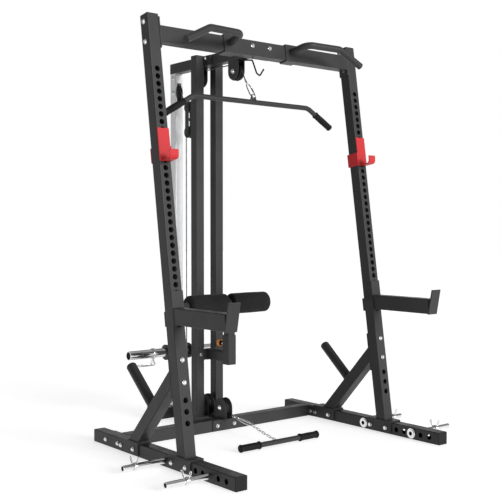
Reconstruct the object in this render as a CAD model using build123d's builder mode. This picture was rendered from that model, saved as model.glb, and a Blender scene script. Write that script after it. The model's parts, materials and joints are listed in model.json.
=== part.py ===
"""Half rack with a plate-loaded lat pulldown and low-row tower, as separate sub-parts, in millimetres.

+X is the machine's right, +Y its rear, +Z up. The origin is on the floor, under the middle of the
overall box.
"""
import os
from math import asin, atan2, cos, hypot, pi, radians, sin

from build123d import *

os.makedirs("parts", exist_ok=True)

# ---- Driving dimensions -------------------------------------------------------------------------
TUBE = 60.0              # main square tube, outside
WALL = 3.0               # its wall
CORNER = 4.0             # its outside corner radius
SLIM = 50.0              # tower tube, outside
SLIM_WALL = 2.5
PLATE = 6.0              # flanges and gussets
CAP = 3.0                # plastic tube cap, proud of the tube
WIDTH = 1293.0           # outside to outside of the side frames
SIDE_X = (WIDTH - TUBE) / 2
SIDES = {"left": -1, "right": 1}

RAIL_REAR = 417.0
RAIL_LENGTH = 1113.0
RAIL_FRONT = RAIL_REAR - RAIL_LENGTH
RAIL_Z = TUBE / 2
BAND_PEG_YS = (-208.0, -530.0)                    # pegs through each rail
RAIL_HOLE_YS = (-429.0, -480.0, -586.0, -640.0)   # free holes ahead of and between the pegs
RAIL_HOLE_D = 25.0
PEG_D = 24.6
PEG_WALL = 2.0
PEG_TIP_X = 864.0
PEG_FLANGE_D = 50.0      # ring flange on the rail's inner side
PEG_FLANGE_T = 6.0

LEAN = 8.47              # rearward lean of the uprights, degrees
LEAN_SIN = sin(radians(LEAN))
LEAN_COS = cos(radians(LEAN))
UPRIGHT_Y = -323.1       # centreline of the uprights at the top of the rails
UPRIGHT_LENGTH = 1948.0
HOLE_D = 25.0
HOLE_TOP = 1697.6        # first adjustment hole, measured up the upright from the rail
HOLE_PITCH = 34.25
HOLE_COUNT = 34
LOW_HOLES = (145.1, 194.0, 243.0)
BRACE_BOLTS = (318.0, 414.5)
BOLT_D = 10.0

FOOT_BOLT_YS = (-258.0, -363.0)
FOOT_SPAN = (-397.5, -236.0)
BRACE_BOLT_YS = (158.0, 53.0)
BRACE_FOOT_SPAN = (12.0, 171.0)
BRACE_SLOPE = 47.0
BRACE_Y_AT_RAIL = 67.3   # brace centreline where it meets the rail
HORN_D = 48.0
HORN_REACH = 250.0
HORN_RISE = 40.3         # degrees above horizontal
HORN_UP_BRACE = 224.0    # distance of the horn up the brace from the rail
HORN_NOSE = 10.0         # rounding of its free end
HORN_COLLAR = 5.0        # weld ring round its root

CROSSBAR_Y = 242.0
CROSSBAR_FLANGE = (172.0, 332.0)
CROSSBAR_BOLT_YS = (197.0, 307.0)
CLAMP_BOLT_X = 54.0      # bolts that clamp the tower's base to the crossbar
CLAMP_HALF_W = 82.0

BEAM_ALONG = 1864.0      # centre of the top crossbeam, up the upright
BEAM_H = 75.0
BEAM_D = 50.0
BEAM_FLANGE = (1798.0, 1940.0)
BEAM_BOLTS = (1824.0, 1916.0)
BEAM_BOLT_D = 12.0
BEAM_FRONT_BOLT_X = 54.0
BEAM_FRONT_BOLT_ALONG = 1873.0

HANDLE_D = 34.0
HANDLE_WALL = 2.5
HANDLE_ROOT_X = 192.0
HANDLE_SADDLE = 76.0

COLUMN_X = 62.0
COLUMN_Y = 368.0
COLUMN_LENGTH = 1868.0
TOP_TUBE_Z = (1880.0, 1935.0)
TOP_TUBE_REAR = 672.0
CHEEK_BOLT = (332.0, 1918.0)     # bolt through the top tube and the cheeks ahead of the columns
SIDE_BOLTS = ((196.0, 1926.0), (124.0, 1912.0))  # small bolts through the top tube
SIDE_BOLT_D = 8.0
WINDOW = (30.0, 106.0, 1896.0, 1924.0)   # rounded window in the top tube over the front pulley
GUIDE_Y = 649.0
REAR_FOOT_X = 150.0

PULLEY_W = 22.0
AXLE_D = 12.0
AXLE_FIT = 0.06          # radial running clearance of a pulley on its axle
BIG_R = 40.0             # pitch radius of the top and low pulleys
LOW_R = 43.0
SMALL_R = 27.0           # pitch radius of the floating block's pulleys
COLUMN_PULLEY_R = 38.0
CABLE_D = 6.0
FRONT_TOP = (119.0, 1824.0)      # pulley centres, (y, z)
REAR_TOP = (431.0, 1824.0)
COLUMN_TOP = (GUIDE_Y, 1778.0)
BLOCK_UPPER = (530.0, 1690.0)
BLOCK_LOWER = (530.0, 1556.0)
FRONT_LOW = (229.0, 116.0)
REAR_LOW = (380.0, 116.0)
HOUSING_HALF_W = 21.0
HOUSING_T = 4.0

CARRIAGE_Z = 362.0
SLEEVE_D = 49.6
SLEEVE_TIP_X = 311.0
SLEEVE_FLANGE_X = 70.0
SLEEVE_ROOT_X = 78.0     # where the sleeve leaves its flange
SLEEVE_FLANGE_D = 84.0
SLEEVE_STUB_D = 44.0

POST_Y = 178.0
SLEEVE_Z = (344.0, 494.0)        # thigh post's guide sleeve, bottom and top
POST = 43.0
POST_Z = (346.0, 592.0)
POST_HOLE_D = 11.0
POST_HOLE_PITCH = 50.0
ROLLER_Y = 190.0
ROLLER_Z = 653.0
ROLLER_D = 108.0
ROLLER_X = (15.0, 248.0)
AXLE_PLATE_HALF = 8.0            # half thickness of the plate on the post that holds the roller axle
PIN_Z = 447.0
PIN_BOSS = 18.0                  # boss on the sleeve's rear face that the pull pin screws into
PIN_BOSS_D = 22.0
PIN_D = 12.4
PIN_KNOB = (42.0, 58.0)          # its knob, measured back from the sleeve
PIN_KNOB_D = 40.0
SLEEVE_HALF = 25.0
ARM_Z = 382.0            # arm between the columns and the sleeve

LAT_BAR_Y = -16.0
LAT_BAR_Z = 1657.0
LAT_BEND_X = 361.0
LAT_END = (516.0, 1566.0)
LAT_BAR_D = 25.0
GRIP_D = 33.0
ROW_BAR_Y = -217.0
ROW_BAR_Z = 20.0
ROW_HALF = 240.0

J_CUP_HOLES = {"left": 9, "right": 8}    # adjustment hole of each J-cup's pin, counted down from 0
SAFETY_HOLE = 30
HOOK_T = 5.0             # plate of the J-cups and safety arms
HOOK_GAP = 0.5           # their clearance to the upright


def leaning(x, depth, along):
    """Point in a side frame: depth rearwards from the upright's centreline, along up it."""
    return (x, UPRIGHT_Y + along * LEAN_SIN + depth * LEAN_COS,
            TUBE + along * LEAN_COS - depth * LEAN_SIN)


def leaning_plane(x, depth, along):
    """Plane square to an upright: local x is X, local y points rearwards, local z up the upright."""
    return Plane(origin=leaning(x, depth, along), x_dir=(1, 0, 0), z_dir=(0, LEAN_SIN, LEAN_COS))


def box_tube(plane, length, size=TUBE, wall=WALL, height=None):
    """Run a hollow rectangular tube out from a plane into the current part."""
    height = height or size
    with BuildSketch(plane) as section:
        RectangleRounded(size, height, CORNER)
        RectangleRounded(size - 2 * wall, height - 2 * wall, CORNER - wall / 2, mode=Mode.SUBTRACT)
    extrude(section.sketch, amount=length)


def rod(start, end, radius, mode=Mode.ADD):
    """Round bar, or hole, from one point to another."""
    run = Vector(*end) - Vector(*start)
    with BuildSketch(Plane(origin=start, z_dir=run)) as section:
        Circle(radius)
    extrude(section.sketch, amount=run.length, mode=mode)


def slab(low, high, mode=Mode.ADD):
    """Rectangular block between two corners."""
    with BuildSketch(Plane.XY.offset(low[2])) as base:
        with Locations(((low[0] + high[0]) / 2, (low[1] + high[1]) / 2)):
            Rectangle(high[0] - low[0], high[1] - low[1])
    extrude(base.sketch, amount=high[2] - low[2], mode=mode)


def leaning_slab(x, low, high, mode=Mode.ADD):
    """Block in a side frame's leaning axes; corners are (x offset, depth, along)."""
    with BuildSketch(leaning_plane(x, 0, low[2])) as base:
        with Locations(((low[0] + high[0]) / 2, (low[1] + high[1]) / 2)):
            Rectangle(high[0] - low[0], high[1] - low[1])
    extrude(base.sketch, amount=high[2] - low[2], mode=mode)


def bolt(head, tail, size=BOLT_D, nut=True):
    """Domed bolt with washers: head on the face at head, and a nut on the face at tail if it has one."""
    run = (Vector(*tail) - Vector(*head)).normalized()
    plane = Plane(origin=head, z_dir=run)
    grip = (Vector(*tail) - Vector(*head)).length
    with BuildSketch(plane) as shank:
        Circle(size / 2)
    extrude(shank.sketch, amount=grip)
    with BuildSketch(plane.offset(-2)) as washer:
        Circle(size)
    extrude(washer.sketch, amount=2)
    with BuildSketch(plane.offset(-2)) as crown:
        Circle(size * 0.85)
    extrude(crown.sketch, amount=-size * 0.55, taper=22)
    if not nut:
        return
    with BuildSketch(plane.offset(grip)) as far_washer:
        Circle(size)
    extrude(far_washer.sketch, amount=2)
    with BuildSketch(plane.offset(grip + 2)) as hexagon:
        RegularPolygon(size * 0.95, 6)
    extrude(hexagon.sketch, amount=size * 0.75)


def bolt_hole(start, end, size=BOLT_D):
    rod(start, end, size / 2 + 0.25, Mode.SUBTRACT)


def save(piece, node):
    """Label a finished piece and write its STEP file."""
    piece.part.label = node
    export_step(piece.part, f"parts/{node}.step")


# ---- Base rails ---------------------------------------------------------------------------------
for name, side in SIDES.items():
    x = side * SIDE_X
    with BuildPart() as base_rail:
        box_tube(Plane(origin=(x, RAIL_FRONT, RAIL_Z), x_dir=(1, 0, 0), z_dir=(0, 1, 0)), RAIL_LENGTH)
        for y in BAND_PEG_YS + RAIL_HOLE_YS:
            rod((x - TUBE, y, RAIL_Z), (x + TUBE, y, RAIL_Z), RAIL_HOLE_D / 2, Mode.SUBTRACT)
        for y in FOOT_BOLT_YS + BRACE_BOLT_YS + CROSSBAR_BOLT_YS:
            bolt_hole((x - TUBE, y, RAIL_Z), (x + TUBE, y, RAIL_Z))
    save(base_rail, f"base_rail_{name}")

# ---- Uprights, each welded to the saddle that sits over its rail ----------------------------------
HOLES = tuple(HOLE_TOP - HOLE_PITCH * i for i in range(HOLE_COUNT))
SADDLE_HALF = TUBE / 2 + PLATE


def saddle(x, span):
    """Bent plate over a rail: a top and two cheeks down its sides."""
    slab((x - SADDLE_HALF, span[0], TUBE), (x + SADDLE_HALF, span[1], TUBE + PLATE))
    for cheek in (-1, 1):
        inner = x + cheek * TUBE / 2
        outer = x + cheek * SADDLE_HALF
        slab((min(inner, outer), span[0], 8.0), (max(inner, outer), span[1], TUBE))


for name, side in SIDES.items():
    x = side * SIDE_X
    with BuildPart() as upright:
        box_tube(leaning_plane(x, 0, -20), UPRIGHT_LENGTH + 20)
        for along in HOLES + LOW_HOLES:
            rod(leaning(x, -TUBE, along), leaning(x, TUBE, along), HOLE_D / 2, Mode.SUBTRACT)
        for along in BRACE_BOLTS:
            bolt_hole(leaning(x, -TUBE, along), leaning(x, TUBE, along))
        for along in BEAM_BOLTS:
            bolt_hole(leaning(x - TUBE, 0, along), leaning(x + TUBE, 0, along), BEAM_BOLT_D)
        slab((x - TUBE, UPRIGHT_Y - 150, -40), (x + TUBE, UPRIGHT_Y + 150, TUBE + PLATE), Mode.SUBTRACT)
        saddle(x, FOOT_SPAN)
        for y in FOOT_BOLT_YS:
            bolt_hole((x - TUBE, y, RAIL_Z), (x + TUBE, y, RAIL_Z))
    save(upright, f"upright_{name}")

# ---- Braces, each with its foot saddle, its plate on the upright and its plate-storage horn -------
BRACE_DIR = Vector(0, -cos(radians(BRACE_SLOPE)), sin(radians(BRACE_SLOPE)))
HORN_DIR = Vector(0, cos(radians(HORN_RISE)), sin(radians(HORN_RISE)))
PLATE_SPAN = (255.0, 445.0)

for name, side in SIDES.items():
    x = side * SIDE_X
    foot = Vector(x, BRACE_Y_AT_RAIL, TUBE)
    with BuildPart() as brace:
        box_tube(Plane(origin=foot - BRACE_DIR * 60, x_dir=(1, 0, 0), z_dir=BRACE_DIR), 560)
        leaning_slab(x, (-TUBE, -200, 100), (TUBE, TUBE / 2 + PLATE, 800), Mode.SUBTRACT)
        slab((x - TUBE, -50, -60), (x + TUBE, 220, TUBE + PLATE), Mode.SUBTRACT)
        leaning_slab(x, (-TUBE / 2, TUBE / 2, PLATE_SPAN[0]), (TUBE / 2, TUBE / 2 + PLATE, PLATE_SPAN[1]))
        saddle(x, BRACE_FOOT_SPAN)
        horn = foot + BRACE_DIR * HORN_UP_BRACE + HORN_DIR * (TUBE / 2 - 1)
        tip = horn + HORN_DIR * HORN_REACH
        rod(horn, tip, HORN_D / 2)
        rod(horn, horn + HORN_DIR * HORN_COLLAR, HORN_D / 2 + 3)
        fillet(brace.faces().sort_by(Axis(foot, HORN_DIR))[-1].edges(), HORN_NOSE)
        for y in BRACE_BOLT_YS:
            bolt_hole((x - TUBE, y, RAIL_Z), (x + TUBE, y, RAIL_Z))
        for along in BRACE_BOLTS:
            bolt_hole(leaning(x, 0, along), leaning(x, TUBE, along))
    save(brace, f"brace_{name}")

# ---- Rear crossbar and top crossbeam, with bolting flanges at both ends ---------------------------
INNER_X = SIDE_X - TUBE / 2
with BuildPart() as rear_crossbar:
    half = INNER_X - PLATE
    box_tube(Plane(origin=(-half, CROSSBAR_Y, RAIL_Z), x_dir=(0, 1, 0), z_dir=(1, 0, 0)), 2 * half)
    for side in SIDES.values():
        near, far = sorted((side * half, side * INNER_X))
        slab((near, CROSSBAR_FLANGE[0], 2.0), (far, CROSSBAR_FLANGE[1], TUBE - 1))
    for y in CROSSBAR_BOLT_YS:
        bolt_hole((-INNER_X, y, RAIL_Z), (-half, y, RAIL_Z))
        bolt_hole((half, y, RAIL_Z), (INNER_X, y, RAIL_Z))
    for x in (-CLAMP_BOLT_X, CLAMP_BOLT_X):
        bolt_hole((x, CROSSBAR_Y - TUBE, RAIL_Z), (x, CROSSBAR_Y + TUBE, RAIL_Z))
save(rear_crossbar, "rear_crossbar")

BEAM_DEPTH = -TUBE / 2 + BEAM_D / 2      # beam's centre: its front is flush with the uprights
with BuildPart() as top_crossbeam:
    half = INNER_X - PLATE
    start = leaning(-half, BEAM_DEPTH, BEAM_ALONG)
    across = Plane(origin=start, x_dir=(0, LEAN_COS, -LEAN_SIN), z_dir=(1, 0, 0))
    box_tube(across, 2 * half, BEAM_D, WALL, BEAM_H)
    for side in SIDES.values():
        near, far = sorted((side * half, side * INNER_X))
        leaning_slab(0, (near, -TUBE / 2, BEAM_FLANGE[0]), (far, TUBE / 2, BEAM_FLANGE[1]))
    for along in BEAM_BOLTS:
        bolt_hole(leaning(-INNER_X, 0, along), leaning(-half, 0, along), BEAM_BOLT_D)
        bolt_hole(leaning(half, 0, along), leaning(INNER_X, 0, along), BEAM_BOLT_D)
    for x in (-BEAM_FRONT_BOLT_X, BEAM_FRONT_BOLT_X):
        bolt_hole(leaning(x, -TUBE, BEAM_FRONT_BOLT_ALONG), leaning(x, TUBE, BEAM_FRONT_BOLT_ALONG))
save(top_crossbeam, "top_crossbeam")

# ---- Pull-up handles: bent tube on a saddle round the beam's front --------------------------------
BEAM_FRONT = -TUBE / 2
for name, side in SIDES.items():
    root = leaning(side * HANDLE_ROOT_X, BEAM_FRONT - 2.5, BEAM_ALONG + 6)
    inner = (side * 205.0, -186.0, 1937.0)
    outer = (side * 403.0, -208.0, 1934.0)
    free = (side * 541.0, -217.0, 1864.0)
    with BuildPart() as handle:
        with BuildLine() as route:
            FilletPolyline(root, inner, outer, free, radius=45)
        with BuildSketch(Plane(origin=root, z_dir=route.line % 0)):
            Circle(HANDLE_D / 2)
            Circle(HANDLE_D / 2 - HANDLE_WALL, mode=Mode.SUBTRACT)
        sweep()
        end = Vector(*free)
        rod(end - (route.line % 1) * HANDLE_WALL, end, HANDLE_D / 2 - 1)
        low = side * HANDLE_ROOT_X - HANDLE_SADDLE / 2
        high = side * HANDLE_ROOT_X + HANDLE_SADDLE / 2
        reach = BEAM_H / 2
        for face in ((-TUBE / 2 - 5, -TUBE / 2, -reach - 5, reach + 5),
                     (-TUBE / 2, -TUBE / 2 + BEAM_D, reach, reach + 5),
                     (-TUBE / 2, -TUBE / 2 + BEAM_D, -reach - 5, -reach)):
            leaning_slab(0, (low, face[0], BEAM_ALONG + face[2]), (high, face[1], BEAM_ALONG + face[3]))
    save(handle, f"pull_up_handle_{name}")

# ---- Tower: two front columns, top tube, plated guide column, base --------------------------------
with BuildPart() as tower_columns:
    for x in (-COLUMN_X, COLUMN_X):
        box_tube(Plane.XY.offset(TUBE).shift_origin((x, COLUMN_Y, TUBE)), COLUMN_LENGTH, SLIM, SLIM_WALL)
        bolt_hole((x, COLUMN_Y - SLIM, ARM_Z), (x, COLUMN_Y, ARM_Z))
save(tower_columns, "tower_columns")

TOP_MID = sum(TOP_TUBE_Z) / 2
TOP_H = TOP_TUBE_Z[1] - TOP_TUBE_Z[0]
BEAM_REAR = leaning(0, -TUBE / 2 + BEAM_D, BEAM_ALONG)
with BuildPart() as top_tube:
    front = BEAM_REAR[1] + PLATE / 2
    box_tube(Plane(origin=(0, front - 20, TOP_MID), x_dir=(-1, 0, 0), z_dir=(0, 1, 0)),
             TOP_TUBE_REAR - front + 20, SLIM, WALL, TOP_H)
    behind_beam = -TUBE / 2 + BEAM_D + PLATE
    leaning_slab(0, (-60, -80, BEAM_ALONG - 80), (60, behind_beam, BEAM_ALONG + 80), Mode.SUBTRACT)
    leaning_slab(0, (-75, behind_beam - PLATE, BEAM_ALONG - 35), (75, behind_beam, BEAM_ALONG + 35))
    for x in (-BEAM_FRONT_BOLT_X, BEAM_FRONT_BOLT_X):
        bolt_hole(leaning(x, 0, BEAM_FRONT_BOLT_ALONG), leaning(x, TUBE, BEAM_FRONT_BOLT_ALONG))
    for cheek in (-1, 1):
        near, far = sorted((cheek * SLIM / 2, cheek * (COLUMN_X - SLIM / 2)))
        slab((near, COLUMN_Y - 78, TOP_TUBE_Z[0]), (far, COLUMN_Y + 30, TOP_TUBE_Z[1] - 4))
    bolt_hole((-COLUMN_X, *CHEEK_BOLT), (COLUMN_X, *CHEEK_BOLT))
    for y, z in SIDE_BOLTS:
        bolt_hole((-SLIM, y, z), (SLIM, y, z), SIDE_BOLT_D)
    with BuildSketch(Plane(origin=(-SLIM, 0, 0), x_dir=(0, 1, 0), z_dir=(1, 0, 0))) as window:
        with Locations(((WINDOW[0] + WINDOW[1]) / 2, (WINDOW[2] + WINDOW[3]) / 2)):
            SlotOverall(WINDOW[1] - WINDOW[0], WINDOW[3] - WINDOW[2])
    extrude(window.sketch, amount=2 * SLIM, mode=Mode.SUBTRACT)
save(top_tube, "top_tube")

SLOT_HALF_W = PULLEY_W / 2 + 3
with BuildPart() as guide_column:
    box_tube(Plane.XY.offset(TUBE).shift_origin((0, GUIDE_Y, TUBE)), TOP_TUBE_Z[0] - TUBE, SLIM, SLIM_WALL)
    reach = COLUMN_PULLEY_R + 12
    slab((-SLOT_HALF_W, GUIDE_Y - SLIM, COLUMN_TOP[1] - reach),
         (SLOT_HALF_W, GUIDE_Y + SLIM, COLUMN_TOP[1] + reach), Mode.SUBTRACT)
    rod((-SLIM, *COLUMN_TOP), (SLIM, *COLUMN_TOP), AXLE_D / 2 + 0.25, Mode.SUBTRACT)
    bolt_hole((-SLIM, GUIDE_Y, 90), (SLIM, GUIDE_Y, 90))
    bolt_hole((-SLIM, GUIDE_Y, 1856), (SLIM, GUIDE_Y, 1856))
save(guide_column, "guide_column")

SPINE_FRONT = CROSSBAR_Y + TUBE / 2
with BuildPart() as tower_base:
    box_tube(Plane(origin=(0, SPINE_FRONT, 30), x_dir=(-1, 0, 0), z_dir=(0, 1, 0)),
             GUIDE_Y - SPINE_FRONT, TUBE, WALL)
    box_tube(Plane(origin=(-REAR_FOOT_X, GUIDE_Y + 20, 30), x_dir=(0, 1, 0), z_dir=(1, 0, 0)),
             2 * REAR_FOOT_X, TUBE, WALL)
    slab((-COLUMN_X - 27, COLUMN_Y - 27, TUBE - PLATE), (COLUMN_X + 27, COLUMN_Y + 27, TUBE))
    for cheek in (-1, 1):
        near, far = sorted((cheek * (SLIM / 2 - SLIM_WALL), cheek * (SLIM / 2 - SLIM_WALL - 5)))
        slab((near, GUIDE_Y - 16, TUBE), (far, GUIDE_Y + 16, TUBE + 50))
    bolt_hole((-SLIM, GUIDE_Y, 90), (SLIM, GUIDE_Y, 90))
    for y in (SPINE_FRONT - TUBE - PLATE, SPINE_FRONT):
        slab((-CLAMP_HALF_W, y, 4), (CLAMP_HALF_W, y + PLATE, TUBE - 2))
    for x in (-CLAMP_BOLT_X, CLAMP_BOLT_X):
        bolt_hole((x, SPINE_FRONT - 2 * TUBE, RAIL_Z), (x, SPINE_FRONT + TUBE, RAIL_Z))
save(tower_base, "tower_base")

# ---- Plastic caps in the open tube ends -----------------------------------------------------------
with BuildPart() as tube_caps:
    for side in SIDES.values():
        x = side * SIDE_X
        for y, out in ((RAIL_FRONT, -1), (RAIL_REAR, 1)):
            with BuildSketch(Plane(origin=(x, y, RAIL_Z), x_dir=(1, 0, 0), z_dir=(0, out, 0))) as lid:
                RectangleRounded(TUBE - 0.5, TUBE - 0.5, CORNER)
            extrude(lid.sketch, amount=CAP)
        with BuildSketch(leaning_plane(x, 0, UPRIGHT_LENGTH)) as lid:
            RectangleRounded(TUBE - 0.5, TUBE - 0.5, CORNER)
        extrude(lid.sketch, amount=CAP)
        with BuildSketch(Plane(origin=(side * REAR_FOOT_X, GUIDE_Y + 20, 30), z_dir=(side, 0, 0))) as lid:
            RectangleRounded(TUBE - 0.5, TUBE - 0.5, CORNER)
        extrude(lid.sketch, amount=CAP)
        with BuildSketch(Plane.XY.offset(TUBE + COLUMN_LENGTH)) as lid:
            with Locations((side * COLUMN_X, COLUMN_Y)):
                RectangleRounded(SLIM - 0.5, SLIM - 0.5, CORNER)
        extrude(lid.sketch, amount=CAP)
    with BuildSketch(Plane(origin=(0, TOP_TUBE_REAR, TOP_MID), x_dir=(1, 0, 0), z_dir=(0, 1, 0))) as lid:
        RectangleRounded(SLIM - 0.5, TOP_H - 0.5, CORNER)
    extrude(lid.sketch, amount=CAP)
    chamfer(tube_caps.faces().group_by(SortBy.AREA)[-1].edges().group_by(Axis.Z)[-1], 0.6)
save(tube_caps, "tube_caps")

# ---- Band pegs through the rails, each with a flange nut inside -----------------------------------
with BuildPart() as band_pegs:
    for side in SIDES.values():
        for y in BAND_PEG_YS:
            wall = (side * INNER_X, y, RAIL_Z)
            flange = (side * (INNER_X - PEG_FLANGE_T), y, RAIL_Z)
            inner = (side * (INNER_X - PEG_FLANGE_T - 3), y, RAIL_Z)
            tip = (side * PEG_TIP_X, y, RAIL_Z)
            rod(inner, tip, PEG_D / 2)
            rod(wall, flange, PEG_FLANGE_D / 2)
            rod(flange, inner, PEG_FLANGE_D / 2 - 5)
            rod(inner, tip, PEG_D / 2 - PEG_WALL, Mode.SUBTRACT)
save(band_pegs, "band_pegs")

# ---- Pulley housings, bent from plate and welded on -----------------------------------------------


def housing(centre, half_length, flat):
    """Two cheeks beside a pulley, rounded beyond its axle, and the web that joins them at height flat."""
    y, z = centre
    inward = HOUSING_T if flat < z else -HOUSING_T
    for cheek in (-1, 1):
        face = Plane(origin=(cheek * HOUSING_HALF_W, 0, 0), x_dir=(0, 1, 0), z_dir=(1, 0, 0))
        with BuildSketch(face) as side_plate:
            with Locations((y, z)):
                Circle(half_length)
            with Locations((y, (z + flat) / 2)):
                Rectangle(2 * half_length, abs(flat - z))
        extrude(side_plate.sketch, amount=-cheek * HOUSING_T)
    low, high = sorted((flat, flat + inward))
    slab((-HOUSING_HALF_W, y - half_length, low), (HOUSING_HALF_W, y + half_length, high))
    bolt_hole((-HOUSING_HALF_W - HOUSING_T, y, z), (HOUSING_HALF_W + HOUSING_T, y, z), AXLE_D)


HOUSING_HALF_L = 41.0
with BuildPart() as top_pulley_housings:
    for centre in (FRONT_TOP, REAR_TOP):
        housing(centre, HOUSING_HALF_L, TOP_TUBE_Z[0])
save(top_pulley_housings, "top_pulley_housings")

with BuildPart() as low_pulley_housings:
    for centre in (FRONT_LOW, REAR_LOW):
        housing(centre, LOW_R + 6, TUBE)
save(low_pulley_housings, "low_pulley_housings")

# ---- Pulleys and the bolts they run on ------------------------------------------------------------


def pulley(centre, radius):
    """Grooved wheel on an X axis, turned about its bolt."""
    rim = radius + 5
    groove = radius - CABLE_D / 2 - 0.3
    half = PULLEY_W / 2
    bore = AXLE_D / 2 + AXLE_FIT
    with BuildSketch(Plane(origin=(0, *centre), x_dir=(1, 0, 0), z_dir=(0, -1, 0))) as profile:
        with BuildLine():
            Polyline((-half, bore), (-half, rim), (-half + 2, rim), (-CABLE_D / 2 - 0.8, groove),
                     (CABLE_D / 2 + 0.8, groove), (half - 2, rim), (half, rim), (half, bore), close=True)
        make_face()
    revolve(profile.sketch, Axis((0, *centre), (1, 0, 0)))


PULLEYS = {
    "front_top_pulley": (FRONT_TOP, BIG_R),
    "rear_top_pulley": (REAR_TOP, BIG_R),
    "column_pulley": (COLUMN_TOP, COLUMN_PULLEY_R),
    "block_upper_pulley": (BLOCK_UPPER, SMALL_R),
    "block_lower_pulley": (BLOCK_LOWER, SMALL_R),
    "front_low_pulley": (FRONT_LOW, LOW_R),
    "rear_low_pulley": (REAR_LOW, LOW_R),
}
for name, (centre, radius) in PULLEYS.items():
    with BuildPart() as wheel:
        pulley(centre, radius)
    save(wheel, name)

with BuildPart() as pulley_axles:
    for centre in (FRONT_TOP, REAR_TOP, FRONT_LOW, REAR_LOW):
        bolt((-HOUSING_HALF_W, *centre), (HOUSING_HALF_W, *centre), AXLE_D)
    bolt((-SLIM / 2, *COLUMN_TOP), (SLIM / 2, *COLUMN_TOP), AXLE_D)
save(pulley_axles, "pulley_axles")

# ---- Floating block: two cheek plates that carry a pulley at each end -----------------------------
BLOCK_HALF_W = PULLEY_W / 2 + 1.5
BLOCK_PLATE_T = 4.0
BLOCK_PLATE_R = 17.0     # rounding of the plates round their axles
with BuildPart() as floating_block:
    for cheek in (-1, 1):
        face = Plane(origin=(cheek * BLOCK_HALF_W, 0, 0), x_dir=(0, 1, 0), z_dir=(1, 0, 0))
        with BuildSketch(face) as plate:
            for centre in (BLOCK_UPPER, BLOCK_LOWER):
                with Locations(centre):
                    Circle(BLOCK_PLATE_R)
            with Locations((BLOCK_UPPER[0], (BLOCK_UPPER[1] + BLOCK_LOWER[1]) / 2)):
                Rectangle(2 * BLOCK_PLATE_R - 4, BLOCK_UPPER[1] - BLOCK_LOWER[1])
        extrude(plate.sketch, amount=cheek * BLOCK_PLATE_T)
    for centre in (BLOCK_UPPER, BLOCK_LOWER):
        bolt((-BLOCK_HALF_W - BLOCK_PLATE_T, *centre), (BLOCK_HALF_W + BLOCK_PLATE_T, *centre), AXLE_D)
    spacer = (BLOCK_UPPER[0], (BLOCK_UPPER[1] + BLOCK_LOWER[1]) / 2)
    rod((-BLOCK_HALF_W, *spacer), (BLOCK_HALF_W, *spacer), 8)
save(floating_block, "floating_block")

# ---- Weight carriage on the guide column ----------------------------------------------------------
CARRIAGE_HALF = SLIM / 2 + 5.5
CARRIAGE_SPAN = (CARRIAGE_Z - 70, CARRIAGE_Z + 70)
with BuildPart() as weight_carriage:
    slab((-CARRIAGE_HALF - 5, GUIDE_Y - CARRIAGE_HALF - 5, CARRIAGE_SPAN[0]),
         (CARRIAGE_HALF + 5, GUIDE_Y + CARRIAGE_HALF + 5, CARRIAGE_SPAN[1]))
    fillet(weight_carriage.edges().filter_by(Axis.Z), 5)
    slab((-CARRIAGE_HALF, GUIDE_Y - CARRIAGE_HALF, CARRIAGE_SPAN[0]),
         (CARRIAGE_HALF, GUIDE_Y + CARRIAGE_HALF, CARRIAGE_SPAN[1]), Mode.SUBTRACT)
    lug_y = GUIDE_Y + CARRIAGE_HALF + 5
    slab((-4, lug_y, CARRIAGE_SPAN[1] - 40), (4, GUIDE_Y + COLUMN_PULLEY_R + 11, CARRIAGE_SPAN[1]))
    for side in SIDES.values():
        start = (side * (CARRIAGE_HALF + 5), GUIDE_Y, CARRIAGE_Z)
        flange = (side * SLEEVE_FLANGE_X, GUIDE_Y, CARRIAGE_Z)
        rod(start, flange, SLEEVE_STUB_D / 2)
        rod(flange, (side * SLEEVE_ROOT_X, GUIDE_Y, CARRIAGE_Z), SLEEVE_FLANGE_D / 2)
save(weight_carriage, "weight_carriage")

with BuildPart() as carriage_sleeves:
    for side in SIDES.values():
        tip = (side * SLEEVE_TIP_X, GUIDE_Y, CARRIAGE_Z)
        rod((side * SLEEVE_ROOT_X, GUIDE_Y, CARRIAGE_Z), tip, SLEEVE_D / 2)
        rod((side * (SLEEVE_TIP_X - 40), GUIDE_Y, CARRIAGE_Z), tip, SLEEVE_D / 2 - 4, Mode.SUBTRACT)
    chamfer(carriage_sleeves.faces().filter_by(Axis.X).sort_by(Axis.X)[-1].edges(), 1.2)
save(carriage_sleeves, "carriage_sleeves")

BUSH_GAP = 0.35
with BuildPart() as carriage_bushes:
    for z in (CARRIAGE_SPAN[0], CARRIAGE_SPAN[1] - 30):
        inner = SLIM / 2 + BUSH_GAP
        slab((-CARRIAGE_HALF, GUIDE_Y - CARRIAGE_HALF, z), (CARRIAGE_HALF, GUIDE_Y + CARRIAGE_HALF, z + 30))
        slab((-inner, GUIDE_Y - inner, z), (inner, GUIDE_Y + inner, z + 30), Mode.SUBTRACT)
save(carriage_bushes, "carriage_bushes")

# ---- Cables: round wire on the centre plane, tangent to the pulleys -------------------------------
LAT_CABLE_END = (48.0, 1774.0, 0.0, 0)
ROW_CABLE_END = (150.0, 82.0, 0.0, 0)
CARRIAGE_END = (GUIDE_Y + COLUMN_PULLEY_R, CARRIAGE_SPAN[1], 0.0, 0)
ANCHOR = (BLOCK_LOWER[0] + SMALL_R, TUBE + 12, 0.0, 0)


def station(centre, radius, turn):
    """A pulley on a cable's way; turn is 1 where the cable goes round it anticlockwise in Y-Z."""
    return (*centre, radius, turn)


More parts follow.
